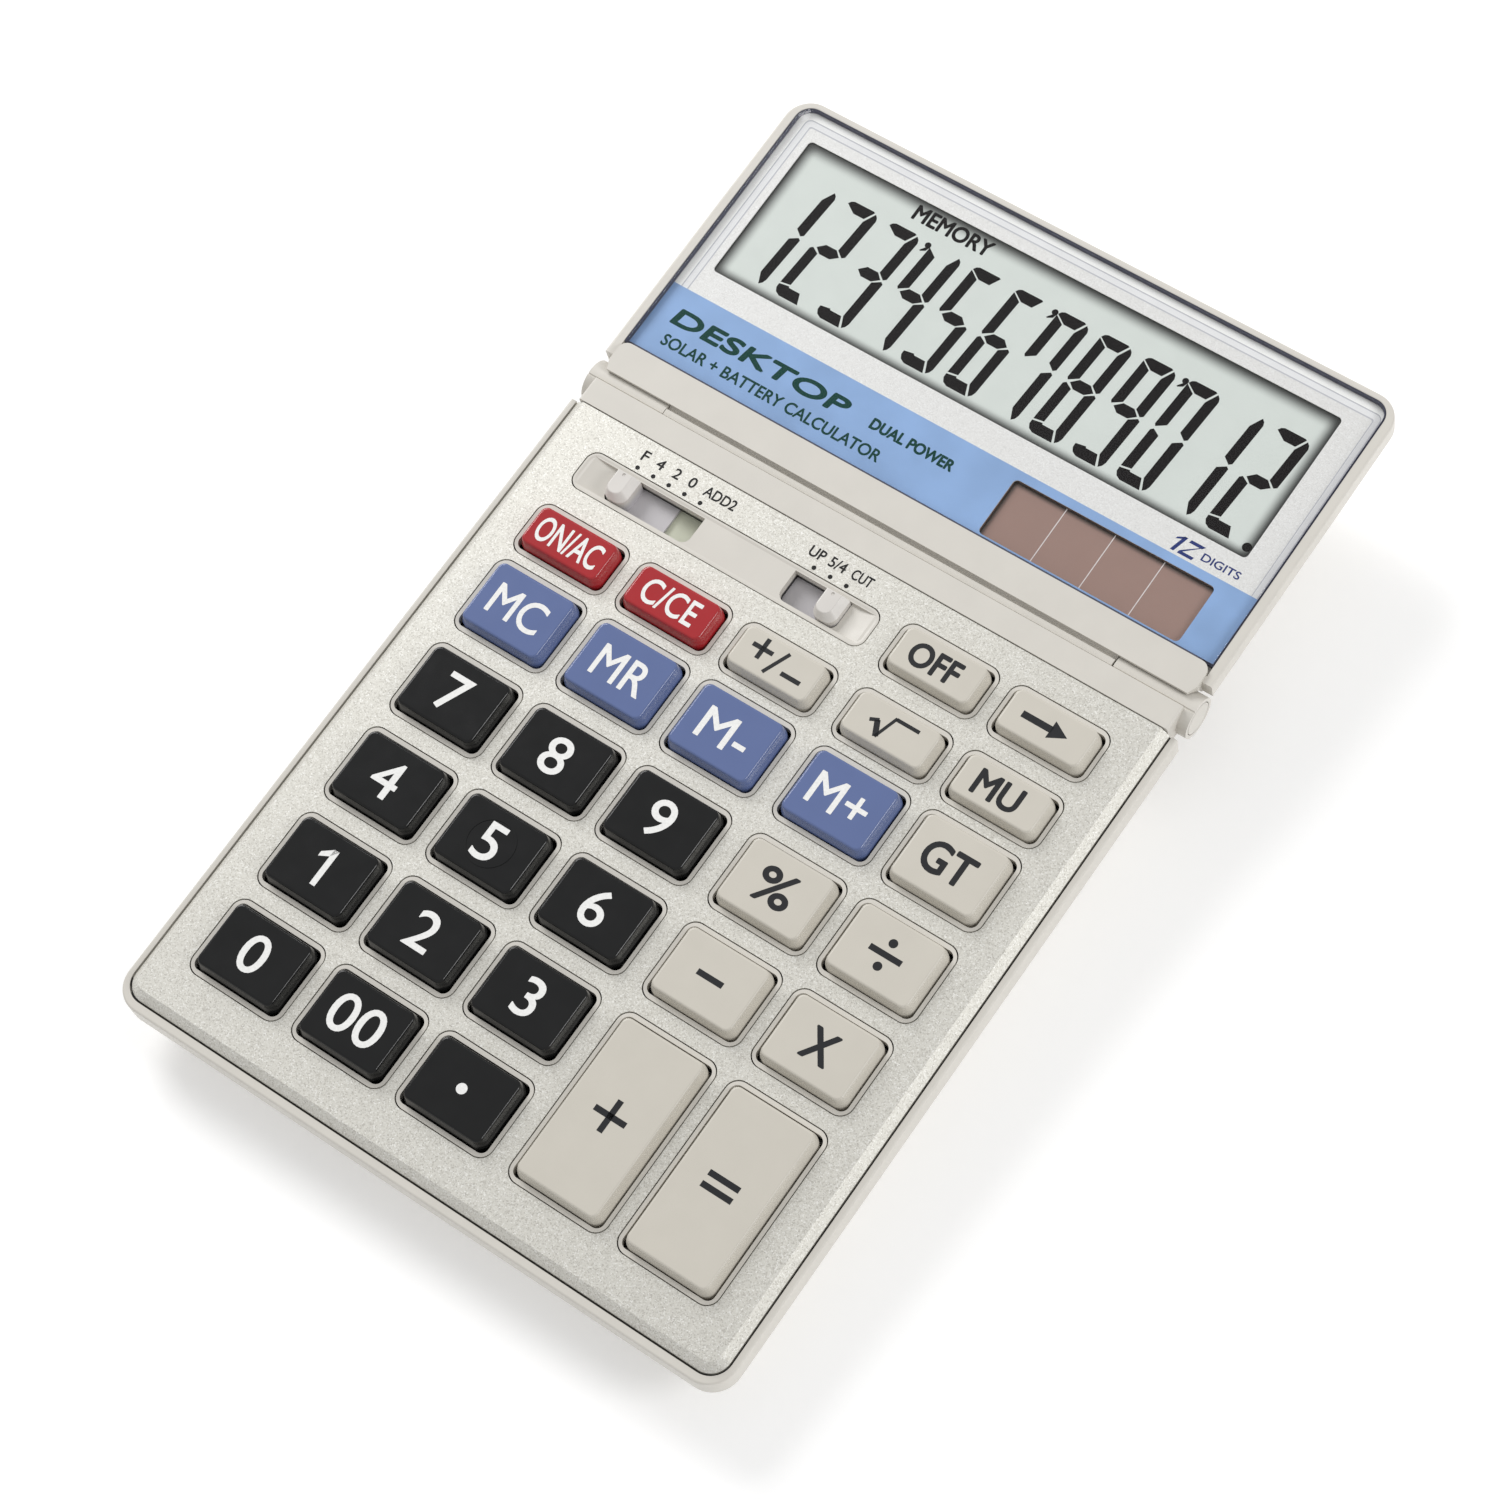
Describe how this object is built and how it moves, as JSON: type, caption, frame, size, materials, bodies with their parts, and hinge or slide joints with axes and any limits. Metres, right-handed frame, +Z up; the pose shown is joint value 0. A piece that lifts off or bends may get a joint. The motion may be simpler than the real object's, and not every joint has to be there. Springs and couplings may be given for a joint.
{
  "type": "desk calculator",
  "caption": "Desk calculator with sprung keys in a sloping case, two slide switches and a display head that tilts up on a rear barrel hinge.",
  "frame": {"origin": "on the desk, below the middle of the whole outline", "axes": "+X to the user's right, +Y away from the user towards the display, +Z up"},
  "size_m": [0.1096, 0.1772, 0.022],
  "materials": {
    "case": "fine satin moulded plastic, warm light grey",
    "face_plate": "silver sparkle paint with a fine grain",
    "black_key": "satin black with printed white legends",
    "grey_key": "satin warm grey with printed dark legends",
    "blue_key": "glossy blue with printed white legends",
    "red_key": "glossy red with printed white legends",
    "rubber": "matt black rubber",
    "key_mat": "grey silicone",
    "steel": "zinc plated",
    "contact": "spring brass",
    "board": "printed circuit board",
    "chip": "black resin",
    "switch_base": "pale green moulding",
    "lens": "clear acrylic",
    "mask": "silver print with a blue band",
    "lcd": "reflective liquid crystal glass",
    "solar": "brown amorphous solar cell"
  },
  "bodies": {
    "base": {"face_plate": "face_plate", "upper_case": "case", "lower_case": "case", "battery_door": "case", "rubber_feet": "rubber", "case_screws": "steel", "key_mat": "key_mat", "main_board": "board", "chip": "chip", "switch_base": "switch_base", "battery": "steel", "battery_contacts": "contact", "hinge_pins": "steel", "hinge_caps": "case"},
    "display_head": {"head_case": "case", "head_back": "case", "lens": "lens", "print_mask": "mask", "lcd_glass": "lcd", "display_board": "board", "solar_cell": "solar", "head_screws": "steel"},
    "decimal_switch": {"decimal_knob": "case"},
    "rounding_switch": {"rounding_knob": "case"},
    "key_0_body": {"key_0": "black_key"},
    "key_00_body": {"key_00": "black_key"},
    "key_point_body": {"key_point": "black_key"},
    "key_plus_body": {"key_plus": "grey_key"},
    "key_equals_body": {"key_equals": "grey_key"},
    "key_1_body": {"key_1": "black_key"},
    "key_2_body": {"key_2": "black_key"},
    "key_3_body": {"key_3": "black_key"},
    "key_4_body": {"key_4": "black_key"},
    "key_5_body": {"key_5": "black_key"},
    "key_6_body": {"key_6": "black_key"},
    "key_minus_body": {"key_minus": "grey_key"},
    "key_times_body": {"key_times": "grey_key"},
    "key_7_body": {"key_7": "black_key"},
    "key_8_body": {"key_8": "black_key"},
    "key_9_body": {"key_9": "black_key"},
    "key_percent_body": {"key_percent": "grey_key"},
    "key_divide_body": {"key_divide": "grey_key"},
    "key_mc_body": {"key_mc": "blue_key"},
    "key_mr_body": {"key_mr": "blue_key"},
    "key_m_minus_body": {"key_m_minus": "blue_key"},
    "key_m_plus_body": {"key_m_plus": "blue_key"},
    "key_gt_body": {"key_gt": "grey_key"},
    "key_on_ac_body": {"key_on_ac": "red_key"},
    "key_c_ce_body": {"key_c_ce": "red_key"},
    "key_sign_body": {"key_sign": "grey_key"},
    "key_root_body": {"key_root": "grey_key"},
    "key_mu_body": {"key_mu": "grey_key"},
    "key_off_body": {"key_off": "grey_key"},
    "key_backspace_body": {"key_backspace": "grey_key"}
  },
  "joints": [
    {"name": "display_hinge", "type": "hinge", "parent": "base", "child": "display_head", "pos_m": [0, 0.03193, 0.01446], "axis": [1, 0, 0], "range_deg": [0, 27]},
    {"name": "decimal_slide", "type": "slide", "parent": "base", "child": "decimal_switch", "axis": [1, 0, 0], "range_m": [0, 0.01172]},
    {"name": "rounding_slide", "type": "slide", "parent": "base", "child": "rounding_switch", "axis": [1, 0, 0], "range_m": [-0.00586, 0]},
    {"name": "key_0_press", "type": "slide", "parent": "base", "child": "key_0_body", "axis": [0, -0.0523, 0.9986], "range_m": [-0.0013, 0], "stiffness_N_per_m": 500, "springref_m": 0.0002},
    {"name": "key_00_press", "type": "slide", "parent": "base", "child": "key_00_body", "axis": [0, -0.0523, 0.9986], "range_m": [-0.0013, 0], "stiffness_N_per_m": 500, "springref_m": 0.0002},
    {"name": "key_point_press", "type": "slide", "parent": "base", "child": "key_point_body", "axis": [0, -0.0523, 0.9986], "range_m": [-0.0013, 0], "stiffness_N_per_m": 500, "springref_m": 0.0002},
    {"name": "key_plus_press", "type": "slide", "parent": "base", "child": "key_plus_body", "axis": [0, -0.0523, 0.9986], "range_m": [-0.0013, 0], "stiffness_N_per_m": 500, "springref_m": 0.0002},
    {"name": "key_equals_press", "type": "slide", "parent": "base", "child": "key_equals_body", "axis": [0, -0.0523, 0.9986], "range_m": [-0.0013, 0], "stiffness_N_per_m": 500, "springref_m": 0.0002},
    {"name": "key_1_press", "type": "slide", "parent": "base", "child": "key_1_body", "axis": [0, -0.0523, 0.9986], "range_m": [-0.0013, 0], "stiffness_N_per_m": 500, "springref_m": 0.0002},
    {"name": "key_2_press", "type": "slide", "parent": "base", "child": "key_2_body", "axis": [0, -0.0523, 0.9986], "range_m": [-0.0013, 0], "stiffness_N_per_m": 500, "springref_m": 0.0002},
    {"name": "key_3_press", "type": "slide", "parent": "base", "child": "key_3_body", "axis": [0, -0.0523, 0.9986], "range_m": [-0.0013, 0], "stiffness_N_per_m": 500, "springref_m": 0.0002},
    {"name": "key_4_press", "type": "slide", "parent": "base", "child": "key_4_body", "axis": [0, -0.0523, 0.9986], "range_m": [-0.0013, 0], "stiffness_N_per_m": 500, "springref_m": 0.0002},
    {"name": "key_5_press", "type": "slide", "parent": "base", "child": "key_5_body", "axis": [0, -0.0523, 0.9986], "range_m": [-0.0013, 0], "stiffness_N_per_m": 500, "springref_m": 0.0002},
    {"name": "key_6_press", "type": "slide", "parent": "base", "child": "key_6_body", "axis": [0, -0.0523, 0.9986], "range_m": [-0.0013, 0], "stiffness_N_per_m": 500, "springref_m": 0.0002},
    {"name": "key_minus_press", "type": "slide", "parent": "base", "child": "key_minus_body", "axis": [0, -0.0523, 0.9986], "range_m": [-0.0013, 0], "stiffness_N_per_m": 500, "springref_m": 0.0002},
    {"name": "key_times_press", "type": "slide", "parent": "base", "child": "key_times_body", "axis": [0, -0.0523, 0.9986], "range_m": [-0.0013, 0], "stiffness_N_per_m": 500, "springref_m": 0.0002},
    {"name": "key_7_press", "type": "slide", "parent": "base", "child": "key_7_body", "axis": [0, -0.0523, 0.9986], "range_m": [-0.0013, 0], "stiffness_N_per_m": 500, "springref_m": 0.0002},
    {"name": "key_8_press", "type": "slide", "parent": "base", "child": "key_8_body", "axis": [0, -0.0523, 0.9986], "range_m": [-0.0013, 0], "stiffness_N_per_m": 500, "springref_m": 0.0002},
    {"name": "key_9_press", "type": "slide", "parent": "base", "child": "key_9_body", "axis": [0, -0.0523, 0.9986], "range_m": [-0.0013, 0], "stiffness_N_per_m": 500, "springref_m": 0.0002},
    {"name": "key_percent_press", "type": "slide", "parent": "base", "child": "key_percent_body", "axis": [0, -0.0523, 0.9986], "range_m": [-0.0013, 0], "stiffness_N_per_m": 500, "springref_m": 0.0002},
    {"name": "key_divide_press", "type": "slide", "parent": "base", "child": "key_divide_body", "axis": [0, -0.0523, 0.9986], "range_m": [-0.0013, 0], "stiffness_N_per_m": 500, "springref_m": 0.0002},
    {"name": "key_mc_press", "type": "slide", "parent": "base", "child": "key_mc_body", "axis": [0, -0.0523, 0.9986], "range_m": [-0.0013, 0], "stiffness_N_per_m": 500, "springref_m": 0.0002},
    {"name": "key_mr_press", "type": "slide", "parent": "base", "child": "key_mr_body", "axis": [0, -0.0523, 0.9986], "range_m": [-0.0013, 0], "stiffness_N_per_m": 500, "springref_m": 0.0002},
    {"name": "key_m_minus_press", "type": "slide", "parent": "base", "child": "key_m_minus_body", "axis": [0, -0.0523, 0.9986], "range_m": [-0.0013, 0], "stiffness_N_per_m": 500, "springref_m": 0.0002},
    {"name": "key_m_plus_press", "type": "slide", "parent": "base", "child": "key_m_plus_body", "axis": [0, -0.0523, 0.9986], "range_m": [-0.0013, 0], "stiffness_N_per_m": 500, "springref_m": 0.0002},
    {"name": "key_gt_press", "type": "slide", "parent": "base", "child": "key_gt_body", "axis": [0, -0.0523, 0.9986], "range_m": [-0.0013, 0], "stiffness_N_per_m": 500, "springref_m": 0.0002},
    {"name": "key_on_ac_press", "type": "slide", "parent": "base", "child": "key_on_ac_body", "axis": [0, -0.0523, 0.9986], "range_m": [-0.0013, 0], "stiffness_N_per_m": 500, "springref_m": 0.0002},
    {"name": "key_c_ce_press", "type": "slide", "parent": "base", "child": "key_c_ce_body", "axis": [0, -0.0523, 0.9986], "range_m": [-0.0013, 0], "stiffness_N_per_m": 500, "springref_m": 0.0002},
    {"name": "key_sign_press", "type": "slide", "parent": "base", "child": "key_sign_body", "axis": [0, -0.0523, 0.9986], "range_m": [-0.0013, 0], "stiffness_N_per_m": 500, "springref_m": 0.0002},
    {"name": "key_root_press", "type": "slide", "parent": "base", "child": "key_root_body", "axis": [0, -0.0523, 0.9986], "range_m": [-0.0013, 0], "stiffness_N_per_m": 500, "springref_m": 0.0002},
    {"name": "key_mu_press", "type": "slide", "parent": "base", "child": "key_mu_body", "axis": [0, -0.0523, 0.9986], "range_m": [-0.0013, 0], "stiffness_N_per_m": 500, "springref_m": 0.0002},
    {"name": "key_off_press", "type": "slide", "parent": "base", "child": "key_off_body", "axis": [0, -0.0523, 0.9986], "range_m": [-0.0013, 0], "stiffness_N_per_m": 500, "springref_m": 0.0002},
    {"name": "key_backspace_press", "type": "slide", "parent": "base", "child": "key_backspace_body", "axis": [0, -0.0523, 0.9986], "range_m": [-0.0013, 0], "stiffness_N_per_m": 500, "springref_m": 0.0002}
  ]
}
